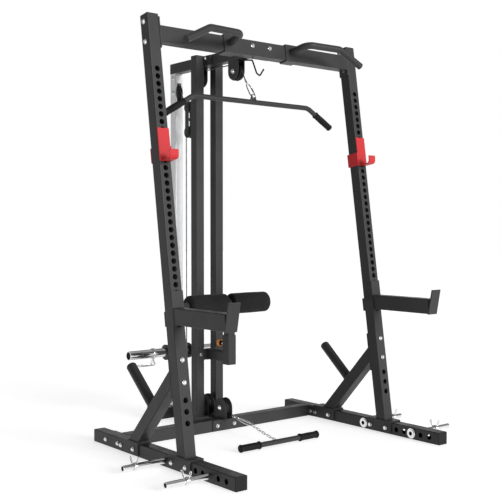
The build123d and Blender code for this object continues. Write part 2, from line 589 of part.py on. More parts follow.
def leg(start, end):
    """Ends of the straight run that is tangent to two stations."""
    span_y = end[0] - start[0]
    span_z = end[1] - start[1]
    lean = asin((end[3] * end[2] - start[3] * start[2]) / hypot(span_y, span_z))
    heading = atan2(span_z, span_y) - lean
    normal = (-sin(heading), cos(heading))
    return [(0, y - turn * r * normal[0], z - turn * r * normal[1]) for y, z, r, turn in (start, end)]


def cable(stations, ends=(True, True)):
    """Sweep a cable past its stations; ends says whether the first and last straight runs are made."""
    legs = [leg(a, b) for a, b in zip(stations, stations[1:])]
    with BuildLine() as route:
        for i, (start, end) in enumerate(legs):
            if i:
                y, z, r, turn = stations[i]
                arrive = legs[i - 1][1]
                first = atan2(arrive[2] - z, arrive[1] - y)
                swing = turn * (atan2(start[2] - z, start[1] - y) - first) % (2 * pi)
                middle = first + turn * swing / 2
                ThreePointArc(arrive, (0, y + r * cos(middle), z + r * sin(middle)), start)
            if (i > 0 or ends[0]) and (i < len(legs) - 1 or ends[1]):
                Line(start, end)
    path = route.wire()
    with BuildSketch(Plane(origin=path @ 0, z_dir=path % 0)) as section:
        Circle(CABLE_D / 2 - 0.1)
    sweep(section.sketch, path=path)


OVER_FRONT = station(FRONT_TOP, BIG_R, -1)
OVER_REAR = station(REAR_TOP, BIG_R, -1)
UNDER_BLOCK = station(BLOCK_UPPER, SMALL_R, 1)
OVER_COLUMN = station(COLUMN_TOP, COLUMN_PULLEY_R, -1)
UNDER_FRONT = station(FRONT_LOW, LOW_R, 1)
UNDER_REAR = station(REAR_LOW, LOW_R, 1)
OVER_BLOCK = station(BLOCK_LOWER, SMALL_R, -1)

with BuildPart() as cable_runs:
    cable([LAT_CABLE_END, OVER_FRONT, OVER_REAR, UNDER_BLOCK], (False, False))
    cable([UNDER_BLOCK, OVER_COLUMN, CARRIAGE_END], (False, False))
    cable([ROW_CABLE_END, UNDER_FRONT, UNDER_REAR, OVER_BLOCK], (False, False))
    rod((0, ANCHOR[0], TUBE), (0, ANCHOR[0], ANCHOR[1]), 8)
save(cable_runs, "cable_runs")

with BuildPart() as lat_cable_drop:
    cable([LAT_CABLE_END, OVER_FRONT])
save(lat_cable_drop, "lat_cable_drop")

with BuildPart() as lat_block_cable:
    cable([OVER_REAR, UNDER_BLOCK, OVER_COLUMN])
save(lat_block_cable, "lat_block_cable")

with BuildPart() as carriage_cable:
    cable([OVER_COLUMN, CARRIAGE_END])
save(carriage_cable, "carriage_cable")

with BuildPart() as low_block_cable:
    cable([UNDER_REAR, OVER_BLOCK, ANCHOR])
save(low_block_cable, "low_block_cable")

with BuildPart() as row_cable:
    cable([ROW_CABLE_END, UNDER_FRONT])
save(row_cable, "row_cable")

# ---- Lat bar on its carabiner ---------------------------------------------------------------------


def link(start, end, wire, width, flat_x=0.0):
    """Oval ring of round wire between two points on the centre plane; flat_x 1 lays it along X."""
    axis = Vector(*end) - Vector(*start)
    middle = (Vector(*end) + Vector(*start)) * 0.5
    normal = Vector(1, 0, 0) if not flat_x else axis.cross(Vector(1, 0, 0))
    plane = Plane(origin=middle, x_dir=axis, z_dir=normal)
    half = axis.length / 2 - wire / 2
    straight = half - width / 2
    with BuildLine(plane) as loop:
        Line((-straight, width / 2), (straight, width / 2))
        ThreePointArc((straight, width / 2), (half, 0), (straight, -width / 2))
        Line((straight, -width / 2), (-straight, -width / 2))
        ThreePointArc((-straight, -width / 2), (-half, 0), (-straight, width / 2))
    ring = loop.wire()
    with BuildSketch(Plane(origin=ring @ 0, z_dir=ring % 0)) as section:
        Circle(wire / 2)
    sweep(section.sketch, path=ring)


EYE = (0.0, LAT_BAR_Y, LAT_BAR_Z + 30)
EYE_T = 4.0              # the bar's eye plate, its height and its top above the eye
EYE_H = 36.0
EYE_TOP = 9.0
HOOK_TOP = (0.0, LAT_CABLE_END[0], LAT_CABLE_END[1])
with BuildPart() as lat_carabiner:
    fall = (Vector(*EYE) - Vector(*HOOK_TOP)).normalized()
    swage = Vector(*HOOK_TOP) + fall * 22
    rod(Vector(*HOOK_TOP) + fall * 2, swage, 5.5)
    link(swage - fall * 4, Vector(*EYE) + fall * 5, 6.0, 23.0)
save(lat_carabiner, "lat_carabiner")

with BuildPart() as lat_bar:
    ends = [(side * LAT_END[0], LAT_BAR_Y, LAT_END[1]) for side in (-1, 1)]
    bends = [(side * LAT_BEND_X, LAT_BAR_Y, LAT_BAR_Z) for side in (-1, 1)]
    with BuildLine() as route:
        FilletPolyline(ends[0], bends[0], bends[1], ends[1], radius=70)
    path = route.wire()
    with BuildSketch(Plane(origin=path @ 0, z_dir=path % 0)) as section:
        Circle(LAT_BAR_D / 2)
    sweep(section.sketch, path=path)
    with BuildSketch(Plane.XZ.offset(-LAT_BAR_Y - EYE_T / 2)) as eye:
        with Locations((0, EYE[2] + EYE_TOP - EYE_H / 2)):
            Trapezoid(44, EYE_H, 72)
        with Locations((0, EYE[2] - 1)):
            Circle(7.5, mode=Mode.SUBTRACT)
    extrude(eye.sketch, amount=EYE_T)
save(lat_bar, "lat_bar")

GRIP_LENGTH = 120.0
with BuildPart() as lat_bar_grips:
    for side in (-1, 1):
        end = Vector(side * LAT_END[0], LAT_BAR_Y, LAT_END[1])
        bend = Vector(side * LAT_BEND_X, LAT_BAR_Y, LAT_BAR_Z)
        inward = (bend - end).normalized()
        rod(end - inward * 4, end + inward * GRIP_LENGTH, GRIP_D / 2)
        rod(end, end + inward * (GRIP_LENGTH + 1), LAT_BAR_D / 2 + 0.1, Mode.SUBTRACT)
save(lat_bar_grips, "lat_bar_grips")

# ---- Row bar on the floor, with its carabiner and chain -------------------------------------------
with BuildPart() as row_bar:
    rod((-ROW_HALF, ROW_BAR_Y, ROW_BAR_Z), (ROW_HALF, ROW_BAR_Y, ROW_BAR_Z), LAT_BAR_D / 2)
    with BuildSketch(Plane.XY.offset(ROW_BAR_Z - 3)) as eye:
        with Locations((0, ROW_BAR_Y + 20)):
            Trapezoid(40, 36, 72)
        with Locations((0, ROW_BAR_Y + 28)):
            Circle(6, mode=Mode.SUBTRACT)
    extrude(eye.sketch, amount=6)
save(row_bar, "row_bar")

with BuildPart() as row_bar_grips:
    for side in (-1, 1):
        inner = (side * (ROW_HALF - GRIP_LENGTH + 5), ROW_BAR_Y, ROW_BAR_Z)
        rod(inner, (side * (ROW_HALF + 4), ROW_BAR_Y, ROW_BAR_Z), GRIP_D / 2)
        rod(inner, (side * ROW_HALF, ROW_BAR_Y, ROW_BAR_Z), LAT_BAR_D / 2 + 0.1, Mode.SUBTRACT)
save(row_bar_grips, "row_bar_grips")

CHAIN_WIRE = 4.0
CHAIN_LINKS = 8
CHAIN_WIDTH = 14.0
with BuildPart() as row_chain:
    top = Vector(0, ROW_CABLE_END[0], ROW_CABLE_END[1])
    clip = Vector(0, -10.0, 62.0)
    slope = (clip - top).normalized()
    rod(top + slope * 2, top + slope * 20, 5)
    link(top + slope * 16, top + slope * 46, 3.5, 13.0)
    link(top + slope * 40, clip, 6.0, 20.0)
    start = clip - slope * 8
    finish = Vector(0, ROW_BAR_Y + 31, ROW_BAR_Z)
    step = (finish - start) * (1 / CHAIN_LINKS)
    overlap = step.normalized() * (CHAIN_WIRE + 0.4)
    for i in range(CHAIN_LINKS):
        begin = start + step * i
        link(begin - overlap, begin + step + overlap, CHAIN_WIRE, CHAIN_WIDTH, 1 - i % 2)
save(row_chain, "row_chain")

# ---- Thigh rollers on a height-adjustable post ----------------------------------------------------
COLUMN_FRONT = COLUMN_Y - SLIM / 2
SLEEVE_REAR = POST_Y + SLEEVE_HALF
with BuildPart() as thigh_bracket:
    slab((-COLUMN_X - 25, COLUMN_FRONT - PLATE, ARM_Z - 29), (COLUMN_X + 25, COLUMN_FRONT, ARM_Z + 29))
    box_tube(Plane(origin=(0, POST_Y + SLEEVE_HALF - 3, ARM_Z), x_dir=(-1, 0, 0), z_dir=(0, 1, 0)),
             COLUMN_FRONT - PLATE - POST_Y - SLEEVE_HALF + 3, SLIM, SLIM_WALL)
    slab((-SLEEVE_HALF, POST_Y - SLEEVE_HALF, SLEEVE_Z[0]), (SLEEVE_HALF, POST_Y + SLEEVE_HALF, SLEEVE_Z[1]))
    fillet(thigh_bracket.edges().filter_by(Axis.Z).group_by(Axis.Y)[0], CORNER)
    bore = POST / 2 + 0.5
    slab((-bore, POST_Y - bore, SLEEVE_Z[0]), (bore, POST_Y + bore, SLEEVE_Z[1]), Mode.SUBTRACT)
    for x in (-COLUMN_X, COLUMN_X):
        bolt_hole((x, COLUMN_FRONT - SLIM, ARM_Z), (x, COLUMN_FRONT, ARM_Z))
    rod((0, SLEEVE_REAR, PIN_Z), (0, SLEEVE_REAR + PIN_BOSS, PIN_Z), PIN_BOSS_D / 2)
    rod((0, POST_Y + bore - 1, PIN_Z), (0, SLEEVE_REAR + PIN_BOSS, PIN_Z), PIN_D / 2 + 0.1, Mode.SUBTRACT)
save(thigh_bracket, "thigh_bracket")

ROLLER_AXLE_D = 25.0
POST_HOLE_ZS = [PIN_Z + POST_HOLE_PITCH * i for i in (-1, 0, 1, 2)]
with BuildPart() as thigh_post:
    foot = Plane.XY.offset(POST_Z[0]).shift_origin((0, POST_Y, POST_Z[0]))
    box_tube(foot, POST_Z[1] - POST_Z[0], POST, SLIM_WALL)
    inside = POST / 2 - SLIM_WALL
    slab((-inside, POST_Y - inside, POST_Z[1] - 4), (inside, POST_Y + inside, POST_Z[1]))
    slab((-AXLE_PLATE_HALF, POST_Y - POST / 2, POST_Z[1] - 4), (AXLE_PLATE_HALF, POST_Y + POST / 2, ROLLER_Z))
    rod((-AXLE_PLATE_HALF, ROLLER_Y, ROLLER_Z), (AXLE_PLATE_HALF, ROLLER_Y, ROLLER_Z), ROLLER_AXLE_D)
    rod((-POST, ROLLER_Y, ROLLER_Z), (POST, ROLLER_Y, ROLLER_Z), ROLLER_AXLE_D / 2, Mode.SUBTRACT)
    for z in POST_HOLE_ZS:
        rod((0, POST_Y, z), (0, POST_Y + POST, z), POST_HOLE_D / 2, Mode.SUBTRACT)
save(thigh_post, "thigh_post")

AXLE_END_X = ROLLER_X[1] + 10
with BuildPart() as roller_axle:
    rod((-AXLE_END_X, ROLLER_Y, ROLLER_Z), (AXLE_END_X, ROLLER_Y, ROLLER_Z), ROLLER_AXLE_D / 2)
    for side in SIDES.values():
        rod((side * (AXLE_END_X - 6), ROLLER_Y, ROLLER_Z), (side * AXLE_END_X, ROLLER_Y, ROLLER_Z), 20)
        rod((side * AXLE_PLATE_HALF, ROLLER_Y, ROLLER_Z), (side * (ROLLER_X[0] - 3), ROLLER_Y, ROLLER_Z), 18)
save(roller_axle, "roller_axle")

for name, side in SIDES.items():
    near = (side * ROLLER_X[0], ROLLER_Y, ROLLER_Z)
    far = (side * ROLLER_X[1], ROLLER_Y, ROLLER_Z)
    with BuildPart() as thigh_roller:
        rod(near, far, ROLLER_D / 2)
        fillet(thigh_roller.edges().filter_by(GeomType.CIRCLE), 9)
        rod(near, far, ROLLER_AXLE_D / 2 + 0.35, Mode.SUBTRACT)
    save(thigh_roller, f"thigh_roller_{name}")

with BuildPart() as pop_pin:
    knob_front = SLEEVE_REAR + PIN_KNOB[0]
    knob_rear = SLEEVE_REAR + PIN_KNOB[1]
    rod((0, POST_Y + POST / 2 + 0.3, PIN_Z), (0, knob_front, PIN_Z), PIN_D / 2)
    rod((0, knob_front, PIN_Z), (0, knob_rear, PIN_Z), PIN_KNOB_D / 2)
    fillet(pop_pin.edges().filter_by(GeomType.CIRCLE).group_by(Axis.Y)[-1], 4)
save(pop_pin, "pop_pin")

# ---- J-cups and safety arms -----------------------------------------------------------------------
FACE = -TUBE / 2 - HOOK_GAP                  # depth of a hook plate's back
REAR = TUBE / 2 + HOOK_GAP


def hook_clip(x, inward, pin_along, low, high, plate_top):
    """Front plate with its pin, inner cheek and rear lip that hook an accessory round an upright."""
    edge = TUBE / 2 + HOOK_GAP
    leaning_slab(x, (-TUBE / 2, FACE - HOOK_T, low), (TUBE / 2, FACE, plate_top))
    near, far = sorted((inward * TUBE / 2, inward * (edge + HOOK_T)))
    leaning_slab(x, (near, FACE - HOOK_T, low), (far, FACE, high))
    near, far = sorted((inward * edge, inward * (edge + HOOK_T)))
    leaning_slab(x, (near, FACE - HOOK_T, low), (far, REAR + HOOK_T, high))
    near, far = sorted((-inward * TUBE / 2, inward * (edge + HOOK_T)))
    leaning_slab(x, (near, REAR, low), (far, REAR + HOOK_T, high))
    rod(leaning(x, FACE - 1, pin_along), leaning(x, 5, pin_along), HOLE_D / 2 - 0.6)


def hook_band(x, route, half_width, radius):
    """Flat bar bent along a route of (depth, along) points in a side frame."""
    plane = Plane(origin=leaning(x - half_width, 0, 0), x_dir=(0, LEAN_COS, -LEAN_SIN), z_dir=(1, 0, 0))
    with BuildSketch(plane) as outline:
        with BuildLine():
            FilletPolyline(*route, radius=radius)
        trace(line_width=HOOK_T)
    extrude(outline.sketch, amount=2 * half_width)


for name, side in SIDES.items():
    x = side * SIDE_X
    pin_along = HOLES[J_CUP_HOLES[name]]
    floor = pin_along - 108
    with BuildPart() as j_cup:
        hook_clip(x, -side, pin_along, floor, pin_along - 41, pin_along + 39)
        mid = FACE - HOOK_T / 2
        hook_band(x, [(mid, floor + 20), (mid, floor), (mid - 68, floor), (mid - 72, floor + 38)], 22, 16)
    save(j_cup, f"j_cup_{name}")

ARM_TIP_Y = -629.0
ARM_Z_SPAN = (624.0, 697.0)
for name, side in SIDES.items():
    x = side * SIDE_X
    pin_along = HOLES[SAFETY_HOLE]
    low = pin_along - 108
    with BuildPart() as safety_arm:
        mid_z = sum(ARM_Z_SPAN) / 2
        box_tube(Plane(origin=(x, ARM_TIP_Y, mid_z), x_dir=(1, 0, 0), z_dir=(0, 1, 0)), 420,
                 TUBE - 4, 4.0, ARM_Z_SPAN[1] - ARM_Z_SPAN[0])
        leaning_slab(x, (-TUBE, FACE - HOOK_T / 2, 400), (TUBE, 300, 900), Mode.SUBTRACT)
        hook_clip(x, -side, pin_along, low, pin_along - 43, pin_along + 42)
        with BuildSketch(Plane(origin=(x - TUBE / 2, 0, 0), x_dir=(0, 1, 0), z_dir=(1, 0, 0))) as lip:
            with BuildLine():
                Polyline((ARM_TIP_Y + 2, ARM_Z_SPAN[0] - 2), (ARM_TIP_Y - 5, ARM_Z_SPAN[0] - 2),
                         (ARM_TIP_Y - 28, 742), (ARM_TIP_Y - 21, 742), close=True)
            make_face()
        extrude(lip.sketch, amount=TUBE)
    save(safety_arm, f"safety_arm_{name}")

# ---- Spring clips on the pegs and on the weight sleeves -------------------------------------------


def spring_clip(x, y, z, bar_d, turn):
    """Two close coils round a bar with two wire handles; turn is the angle between them."""
    inner = bar_d / 2 + 0.35
    rod((x - 7, y, z), (x + 7, y, z), inner + 4.5)
    for angle in turn:
        reach = inner + 26
        tip = (x, y + reach * cos(radians(angle)), z + reach * sin(radians(angle)))
        rod((x, y, z), tip, 3)
    rod((x - 8, y, z), (x + 8, y, z), inner, Mode.SUBTRACT)


CLIP_XS = {"front": 762.0, "rear": 805.0}
for end, y in zip(("rear", "front"), BAND_PEG_YS):
    for name, side in SIDES.items():
        with BuildPart() as peg_clip:
            spring_clip(side * CLIP_XS[end], y, RAIL_Z, PEG_D, (60, 115))
        save(peg_clip, f"peg_clip_{end}_{name}")

SLEEVE_CLIP_X = 160.0
for name, side in SIDES.items():
    with BuildPart() as sleeve_clip:
        spring_clip(side * SLEEVE_CLIP_X, GUIDE_Y, CARRIAGE_Z, SLEEVE_D, (235, 290))
    save(sleeve_clip, f"sleeve_clip_{name}")

# ---- Wire hook for the lat bar, under the top tube ------------------------------------------------
with BuildPart() as bar_hook:
    with BuildLine() as route:
        FilletPolyline((0, 72, 1876), (0, -8, 1864), (0, -42, 1796), (0, -66, 1780), (0, -96, 1808), radius=9)
    path = route.wire()
    with BuildSketch(Plane(origin=path @ 0, z_dir=path % 0)) as section:
        Circle(4)
    sweep(section.sketch, path=path)
    slab((-14, 50, TOP_TUBE_Z[0] - 4), (14, 76, TOP_TUBE_Z[0]))
save(bar_hook, "bar_hook")

# ---- Bolts ----------------------------------------------------------------------------------------
with BuildPart() as frame_bolts:
    for side in SIDES.values():
        x = side * SIDE_X
        outside = side * (SIDE_X + SADDLE_HALF)
        inside = side * (SIDE_X - SADDLE_HALF)
        for y in FOOT_BOLT_YS + BRACE_BOLT_YS:
            bolt((outside, y, RAIL_Z), (inside, y, RAIL_Z))
        for y in CROSSBAR_BOLT_YS:
            bolt((side * (SIDE_X + TUBE / 2), y, RAIL_Z), (side * (INNER_X - PLATE), y, RAIL_Z))
        bolt(leaning(x, -TUBE / 2, BRACE_BOLTS[0]), leaning(x, TUBE / 2 + PLATE, BRACE_BOLTS[0]), nut=False)
        bolt(leaning(x, -TUBE / 2, BRACE_BOLTS[1]), leaning(x, TUBE / 2 + PLATE, BRACE_BOLTS[1]))
        for along in BEAM_BOLTS:
            bolt(leaning(side * (SIDE_X + TUBE / 2), 0, along), leaning(side * (INNER_X - PLATE), 0, along),
                 BEAM_BOLT_D, nut=along > BEAM_ALONG)
        bolt(leaning(side * BEAM_FRONT_BOLT_X, -TUBE / 2, BEAM_FRONT_BOLT_ALONG),
             leaning(side * BEAM_FRONT_BOLT_X, -TUBE / 2 + BEAM_D + PLATE, BEAM_FRONT_BOLT_ALONG))
        bolt((side * CLAMP_BOLT_X, CROSSBAR_Y - TUBE / 2 - PLATE, RAIL_Z),
             (side * CLAMP_BOLT_X, CROSSBAR_Y + TUBE / 2 + PLATE, RAIL_Z))
        bolt((side * COLUMN_X, COLUMN_FRONT - PLATE, ARM_Z),
             (side * COLUMN_X, COLUMN_FRONT + SLIM_WALL, ARM_Z))
    bolt((-COLUMN_X + SLIM / 2, *CHEEK_BOLT), (COLUMN_X - SLIM / 2, *CHEEK_BOLT))
    for y, z in SIDE_BOLTS:
        bolt((-SLIM / 2, y, z), (SLIM / 2, y, z), SIDE_BOLT_D)
    for z in (90, 1856):
        bolt((-SLIM / 2, GUIDE_Y, z), (SLIM / 2, GUIDE_Y, z))
save(frame_bolts, "frame_bolts")
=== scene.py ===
"""Looks for the half rack with its lat pulldown and low row tower, in metres, round the CAD frame."""
import json
from math import asin, atan2, cos, hypot, pi, radians, sin

import bpy
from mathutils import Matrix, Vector, noise


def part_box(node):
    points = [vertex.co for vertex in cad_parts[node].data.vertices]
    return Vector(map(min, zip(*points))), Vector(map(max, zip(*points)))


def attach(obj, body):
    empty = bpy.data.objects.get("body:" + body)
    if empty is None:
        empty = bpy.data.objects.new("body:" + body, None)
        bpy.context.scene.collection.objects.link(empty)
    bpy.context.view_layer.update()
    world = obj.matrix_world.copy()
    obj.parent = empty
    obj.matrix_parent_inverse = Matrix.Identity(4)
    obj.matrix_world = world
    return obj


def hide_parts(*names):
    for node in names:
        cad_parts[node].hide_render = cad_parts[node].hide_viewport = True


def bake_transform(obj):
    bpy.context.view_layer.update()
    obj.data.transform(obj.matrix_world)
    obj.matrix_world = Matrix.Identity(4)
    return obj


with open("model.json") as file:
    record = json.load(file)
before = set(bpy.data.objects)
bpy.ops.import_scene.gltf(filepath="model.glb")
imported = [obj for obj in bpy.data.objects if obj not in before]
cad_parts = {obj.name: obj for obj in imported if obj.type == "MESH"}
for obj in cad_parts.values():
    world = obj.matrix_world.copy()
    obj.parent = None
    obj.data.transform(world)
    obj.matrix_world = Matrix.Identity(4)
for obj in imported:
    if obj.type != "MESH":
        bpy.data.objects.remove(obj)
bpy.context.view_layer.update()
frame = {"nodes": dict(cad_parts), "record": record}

# ---- Sizes that the frame doesn't state -----------------------------------------------------------
RAIL_Z = 0.030
PEG_YS = {"rear": -0.208, "front": -0.530}
PEG_R = 0.0123
SLEEVE_R = 0.0248
CABLE_R = 0.0029
RIM = 0.005                     # how far a pulley's rim stands outside its cable
LAT_CABLE_END = (0.048, 1.774)  # ends of the cables' straight runs, as (y, z)
ROW_CABLE_END = (0.150, 0.082)
CARRIAGE_END = (0.687, 0.432)
ANCHOR = (0.557, 0.072)
LAT_EYE = Vector((0, -0.016, 1.687))
CHAIN_TOP = Vector((0, -0.010, 0.062))
LAT_END = Vector((0.516, -0.016, 1.566))
LAT_BEND = Vector((0.361, -0.016, 1.657))
BAR_R = 0.0125
GRIP_LENGTH = 0.120
LEAN = radians(8.47)
UPRIGHT_FOOT = Vector((0.6165, -0.3231, 0.060))
BRACE_FOOT = Vector((0.6165, 0.0673, 0.060))
BRACE_SLOPE = radians(47)
HORN_UP = 0.224                 # distance of the horn up its brace from the rail
HORN_RISE = radians(40.3)
HORN_COLLAR_R = 0.0272          # weld bead round the horn's root
TUBE_HALF = 0.030
SADDLE_TOP = 0.066              # top of the foot saddles' plates
WELD_R = 0.0028
SIDES = {"left": -1, "right": 1}
X_AXIS = Vector((1, 0, 0))


def box(node):
    low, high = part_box(node)
    return Vector(low), Vector(high)


def middle(node):
    low, high = box(node)
    return (low + high) / 2


# ---- Materials: one node-based finish for each of the record's material slots ---------------------
class Finish:
    """A Principled material whose colour, roughness and relief come from textures in object space."""

    def __init__(self, name, metallic=0.0, coat=0.0, sheen=0.0, specular=0.5, ior=1.5):
        self.material = bpy.data.materials.new(name)
        self.material.use_nodes = True
        self.tree = self.material.node_tree
        self.shader = self.tree.nodes["Principled BSDF"]
        self.shader.inputs["Metallic"].default_value = metallic
        self.shader.inputs["Coat Weight"].default_value = coat
        self.shader.inputs["Coat Roughness"].default_value = 0.25
        self.shader.inputs["Sheen Weight"].default_value = sheen
        self.shader.inputs["Sheen Roughness"].default_value = 0.4
        self.shader.inputs["Specular IOR Level"].default_value = specular
        self.shader.inputs["IOR"].default_value = ior
        self.place = self.add("ShaderNodeTexCoord").outputs["Object"]

    def add(self, kind, inputs=None, **settings):
        node = self.tree.nodes.new(kind)
        for key, value in settings.items():
            setattr(node, key, value)
        for key, value in (inputs or {}).items():
            if isinstance(value, bpy.types.NodeSocket):
                self.tree.links.new(value, node.inputs[key])
            else:
                node.inputs[key].default_value = value
        return node

    def grain(self, scale, detail=3.0, stretch=(1, 1, 1)):
        """Noise from 0 to 1 at a scale per metre, drawn out along an axis by a small stretch."""
        mapped = self.add("ShaderNodeMapping", {"Vector": self.place, "Scale": stretch})
        return self.add("ShaderNodeTexNoise", {"Vector": mapped.outputs[0], "Scale": scale,
                                               "Detail": detail}).outputs["Fac"]

    def ranged(self, value, low, high, start=0.3, end=0.7):
        return self.add("ShaderNodeMapRange", {"Value": value, "From Min": start, "From Max": end,
                                               "To Min": low, "To Max": high}).outputs["Result"]

    def blended(self, share, first, second):
        node = self.add("ShaderNodeMix", data_type="RGBA")
        for index, value in ((0, share), (6, first), (7, second)):
            if isinstance(value, bpy.types.NodeSocket):
                self.tree.links.new(value, node.inputs[index])
            else:
                node.inputs[index].default_value = value
        return node.outputs[2]

    def rounded(self, radius):
        """Normal that softens every hard edge, and a mask of how close the edge is."""
        soft = self.add("ShaderNodeBevel", {"Radius": radius}, samples=4).outputs["Normal"]
        flat = self.add("ShaderNodeNewGeometry").outputs["Normal"]
        same = self.add("ShaderNodeVectorMath", operation="DOT_PRODUCT")
        self.tree.links.new(soft, same.inputs[0])
        self.tree.links.new(flat, same.inputs[1])
        return soft, self.ranged(same.outputs["Value"], 1.0, 0.0, 0.90, 0.995)

    def relief(self, height, depth, strength=1.0, normal=None):
        inputs = {"Height": height, "Distance": depth, "Strength": strength}
        if normal is not None:
            inputs["Normal"] = normal
        return self.add("ShaderNodeBump", inputs).outputs["Normal"]

    def finish(self, colour, rough, normal):
        for key, value in (("Base Color", colour), ("Roughness", rough), ("Normal", normal)):
            self.tree.links.new(value, self.shader.inputs[key])
        return self.material


def rgb(red, green, blue, gain=1.0):
    return (red * gain, green * gain, blue * gain, 1.0)


def powder_coat(name, colour, worn, rough):
    """Fine-textured baked paint: pimpled skin, slow mottling, dust, and edges rubbed a little bright."""
    paint = Finish(name, specular=0.42, ior=1.36)
    soft, edge = paint.rounded(0.0012)
    mottle = paint.ranged(paint.grain(6.0), 0.0, 1.0)
    speckle = paint.ranged(paint.grain(2600.0, 1.0), 0.0, 0.35, 0.45, 0.75)
    base = paint.blended(mottle, rgb(*colour, 0.90), rgb(*colour, 1.08))
    base = paint.blended(speckle, base, rgb(*colour, 1.5))
    rubbed = paint.add("ShaderNodeMath", {0: edge, 1: paint.ranged(paint.grain(45.0), 0.05, 0.75)},
                       operation="MULTIPLY").outputs[0]
    base = paint.blended(rubbed, base, worn)
    smudge = paint.ranged(paint.grain(14.0, 4.0), rough - 0.05, rough + 0.07)
    skin = paint.relief(paint.grain(1500.0, 2.0), 0.00025, 0.35, soft)
    return paint.finish(base, smudge, skin)


def bright_metal(name, colour, rough, stretch=(1, 1, 1), scratch=0.15, grain=900.0):
    """Plated steel: slightly cloudy, with fine scratches along the stretch and softened edges."""
    metal = Finish(name, metallic=1.0, specular=0.5)
    soft, _ = metal.rounded(0.0006)
    cloud = metal.ranged(metal.grain(30.0, 4.0), 0.0, 1.0)
    base = metal.blended(cloud, rgb(*colour, 0.95), rgb(*colour, 1.02))
    sheen = metal.ranged(metal.grain(60.0, 5.0), rough * 0.85, rough * 1.25)
    skin = metal.relief(metal.grain(grain, 3.0, stretch), 0.00008, scratch, soft)
    return metal.finish(base, sheen, skin)


def moulded_plastic(name, colour, rough, pebble=1400.0, depth=0.00015, coat=0.0):
    """Spark-textured moulding."""
    plastic = Finish(name, coat=coat, specular=0.4, ior=1.36)
    soft, _ = plastic.rounded(0.0008)
    tone = plastic.ranged(plastic.grain(25.0), 0.0, 1.0)
    base = plastic.blended(tone, rgb(*colour, 0.88), rgb(*colour, 1.15))
    skin = plastic.relief(plastic.grain(pebble, 2.0), depth, 0.5, soft)
    return plastic.finish(base, plastic.ranged(plastic.grain(80.0), rough - 0.05, rough + 0.08), skin)


def closed_cell_foam(name, colour):
    """Dense black foam with fine open pores in its skin, the pores darkened with painted shade, and a dusty
    sheen.
    """
    foam = Finish(name, sheen=0.06, specular=0.15, ior=1.35)
    cells = foam.add("ShaderNodeTexVoronoi", {"Vector": foam.place, "Scale": 620.0}).outputs["Distance"]
    pits = foam.ranged(cells, 0.0, 1.0, 0.05, 0.55)
    worn = foam.ranged(foam.grain(9.0, 4.0), 0.0, 1.0)
    base = foam.blended(worn, rgb(*colour, 0.8), rgb(*colour, 1.25))
    # painted shade: the colour is darkened towards the bottom of each pore, where shade falls
    base = foam.blended(foam.ranged(pits, 0.5, 0.0, 0.0, 0.4), base, rgb(*colour, 0.35))
    pores = foam.relief(pits, 0.0004, 0.6)
    skin = foam.relief(foam.grain(70.0, 5.0), 0.0012, 0.35, pores)
    return foam.finish(base, foam.ranged(foam.grain(50.0), 0.78, 0.92), skin)


def moulded_rubber(name, colour):
    """Matte grip rubber with a dimpled skin."""
    rubber = Finish(name, sheen=0.03, specular=0.3, ior=1.36)
    dimples = rubber.add("ShaderNodeTexVoronoi", {"Vector": rubber.place, "Scale": 420.0}).outputs["Distance"]
    tone = rubber.ranged(rubber.grain(35.0), 0.0, 1.0)
    base = rubber.blended(tone, rgb(*colour, 0.85), rgb(*colour, 1.2))
    skin = rubber.relief(rubber.ranged(dimples, 0.0, 1.0, 0.0, 0.5), 0.0005, 0.45)
    return rubber.finish(base, rubber.ranged(rubber.grain(90.0), 0.55, 0.72), skin)


def stage_paper(name):
    """White studio paper, lit from under as a light table, so that only soft shadows show."""
    paper = Finish(name, specular=0.2)
    tone = paper.ranged(paper.grain(0.8), 0.0, 1.0)
    base = paper.blended(tone, rgb(0.60, 0.60, 0.60), rgb(0.63, 0.63, 0.63))
    paper.shader.inputs["Emission Color"].default_value = rgb(1, 1, 1)
    paper.shader.inputs["Emission Strength"].default_value = PAPER_GLOW
    rough = paper.ranged(paper.grain(3.0), 0.6, 0.75)
    return paper.finish(base, rough, paper.relief(paper.grain(400.0), 0.0001, 0.1))


CHARCOAL = (0.029, 0.029, 0.0295)
PAPER_GLOW = 0.66
MATERIALS = {
    "frame_paint": powder_coat("frame_paint", CHARCOAL, rgb(0.10, 0.10, 0.10), 0.40),
    "red_paint": powder_coat("red_paint", (0.47, 0.020, 0.024), rgb(0.75, 0.12, 0.11), 0.42),
    "chrome": bright_metal("chrome", (0.82, 0.82, 0.83), 0.10, (0.05, 1, 1)),
    "plated": bright_metal("plated", (0.74, 0.75, 0.76), 0.42, (1, 1, 0.02), 0.2),
    "zinc": bright_metal("zinc", (0.78, 0.79, 0.80), 0.24, (1, 1, 1), 0.3),
    "wire": bright_metal("wire", (0.20, 0.20, 0.21), 0.42, (1, 1, 1), 0.4, 1500.0),
    "cap_plastic": moulded_plastic("cap_plastic", (0.0055, 0.0055, 0.0058), 0.55),
    "pulley_nylon": moulded_plastic("pulley_nylon", (0.014, 0.014, 0.0145), 0.42),
    "grip_rubber": moulded_rubber("grip_rubber", (0.0065, 0.0065, 0.0068)),
    "foam": closed_cell_foam("foam", (0.014, 0.014, 0.0143)),
    "orange_plastic": moulded_plastic("orange_plastic", (1.0, 0.34, 0.012), 0.30, coat=0.3),
    "black_wire": moulded_plastic("black_wire", (0.016, 0.016, 0.016), 0.28, 900.0, 0.0001, 0.4),
}

for part in frame["record"]["subparts"]:
    node = frame["nodes"][part["node"]]
    if not node.material_slots:
        node.data.materials.append(None)
    for place in node.material_slots:
        place.link = "OBJECT"
        place.material = MATERIALS[part["material_slot"]]


